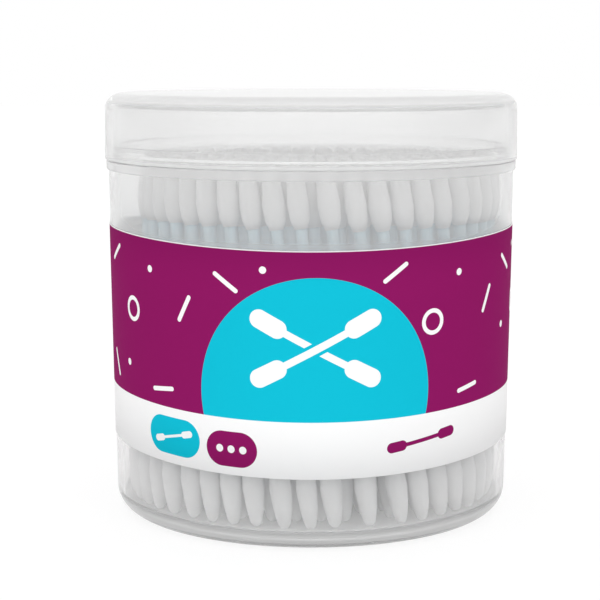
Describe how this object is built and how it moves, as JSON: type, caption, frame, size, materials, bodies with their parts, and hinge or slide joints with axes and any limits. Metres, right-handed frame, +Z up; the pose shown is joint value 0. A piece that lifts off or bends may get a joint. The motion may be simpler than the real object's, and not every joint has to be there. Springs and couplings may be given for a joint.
{
  "type": "cotton swab tub",
  "caption": "Round clear plastic tub of cotton swabs standing upright, with a frosted lift-off lid and a printed paper wrap.",
  "frame": {"origin": "centre of the foot ring, on the plane that the tub stands on", "axes": "+Z up along the tub's axis; the print's middle faces -Y and the wrap's overlap +Y"},
  "size_m": [0.092, 0.092, 0.0933],
  "materials": {
    "clear_plastic": "clear and glossy",
    "frosted_plastic": "frosted, pearly white",
    "printed_label": "coated paper, satin print",
    "blue_stick": "satin",
    "cotton": "soft wound cotton"
  },
  "bodies": {
    "tub": {"tub": "clear_plastic", "label": "printed_label", "sticks_ring_1": "blue_stick", "lower_buds_ring_1": "cotton", "upper_buds_ring_1": "cotton", "sticks_ring_2": "blue_stick", "lower_buds_ring_2": "cotton", "upper_buds_ring_2": "cotton", "sticks_ring_3": "blue_stick", "lower_buds_ring_3": "cotton", "upper_buds_ring_3": "cotton", "sticks_ring_4": "blue_stick", "lower_buds_ring_4": "cotton", "upper_buds_ring_4": "cotton", "sticks_ring_5": "blue_stick", "lower_buds_ring_5": "cotton", "upper_buds_ring_5": "cotton", "sticks_ring_6": "blue_stick", "lower_buds_ring_6": "cotton", "upper_buds_ring_6": "cotton", "sticks_ring_7": "blue_stick", "lower_buds_ring_7": "cotton", "upper_buds_ring_7": "cotton", "sticks_ring_8": "blue_stick", "lower_buds_ring_8": "cotton", "upper_buds_ring_8": "cotton"},
    "lid": {"lid": "frosted_plastic"}
  },
  "joints": [
    {"name": "lid_lift", "type": "slide", "parent": "tub", "child": "lid", "axis": [0, 0, 1], "range_m": [0, 0.08]}
  ]
}
